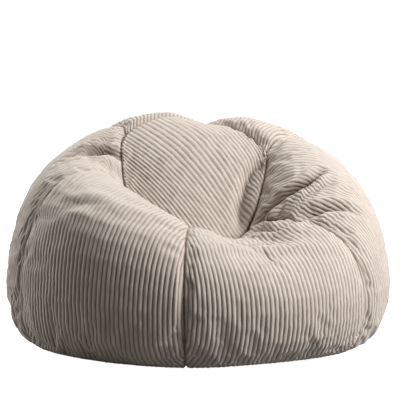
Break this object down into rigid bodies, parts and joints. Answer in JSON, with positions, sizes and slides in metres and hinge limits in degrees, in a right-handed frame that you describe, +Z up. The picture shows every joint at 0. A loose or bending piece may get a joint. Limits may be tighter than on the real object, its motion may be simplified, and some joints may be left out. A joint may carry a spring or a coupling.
{
  "type": "bean bag chair",
  "caption": "Low slumped bean bag chair in wide-wale cord, with a pressed-in seat, a raised back and a hexagonal top panel, over a zipped liner of loose beads.",
  "frame": {"origin": "on the floor, under the middle of the chair", "axes": "+Z up; the sitter faces -Y; +X towards the lower, right-hand arm as seen from in front"},
  "size_m": [0.8527, 0.8245, 0.4967],
  "materials": {
    "cord_cloth": "matte wide-wale cord, soft cut pile on rounded ribs",
    "base_cloth": "matte plain-weave canvas",
    "liner_cloth": "thin plain-weave polyester lining",
    "cover_zip_tape": "woven zip tape, herringbone",
    "cover_zip_coil": "moulded nylon coil, satin",
    "liner_zip_tape": "woven zip tape, herringbone",
    "liner_zip_coil": "moulded nylon coil, satin",
    "slider_metal": "die-cast zinc, semi-gloss enamel, worn at the edges",
    "zip_stop": "pressed metal, dull",
    "foam_beads": "expanded polystyrene beads"
  },
  "bodies": {
    "root": {"bead_filling": "foam_beads", "cover_back_left_panel": "cord_cloth", "cover_back_right_panel": "cord_cloth", "cover_base_left_half": "base_cloth", "cover_base_right_half": "base_cloth", "cover_front_left_panel": "cord_cloth", "cover_front_right_panel": "cord_cloth", "cover_left_panel": "cord_cloth", "cover_right_panel": "cord_cloth", "cover_top_panel": "cord_cloth", "cover_zip_closed_stop": "zip_stop", "cover_zip_front_tab": "base_cloth", "cover_zip_left_coil": "cover_zip_coil", "cover_zip_left_tape": "cover_zip_tape", "cover_zip_open_stop": "zip_stop", "cover_zip_rear_tab": "base_cloth", "cover_zip_right_coil": "cover_zip_coil", "cover_zip_right_tape": "cover_zip_tape", "liner_back_left_panel": "liner_cloth", "liner_back_right_panel": "liner_cloth", "liner_base_left_half": "liner_cloth", "liner_base_right_half": "liner_cloth", "liner_front_left_panel": "liner_cloth", "liner_front_right_panel": "liner_cloth", "liner_left_panel": "liner_cloth", "liner_right_panel": "liner_cloth", "liner_top_panel": "liner_cloth", "liner_zip_closed_stop": "zip_stop", "liner_zip_left_coil": "liner_zip_coil", "liner_zip_left_tape": "liner_zip_tape", "liner_zip_open_stop": "zip_stop", "liner_zip_right_coil": "liner_zip_coil", "liner_zip_right_tape": "liner_zip_tape"},
    "cover_slider": {"cover_zip_slider": "slider_metal"},
    "liner_slider": {"liner_zip_slider": "slider_metal"}
  },
  "joints": [
    {"name": "cover_zip_slide", "type": "slide", "parent": "root", "child": "cover_slider", "axis": [0, -1, 0], "range_m": [0, 0.386]},
    {"name": "liner_zip_slide", "type": "slide", "parent": "root", "child": "liner_slider", "axis": [0, -1, 0], "range_m": [0, 0.326]}
  ]
}
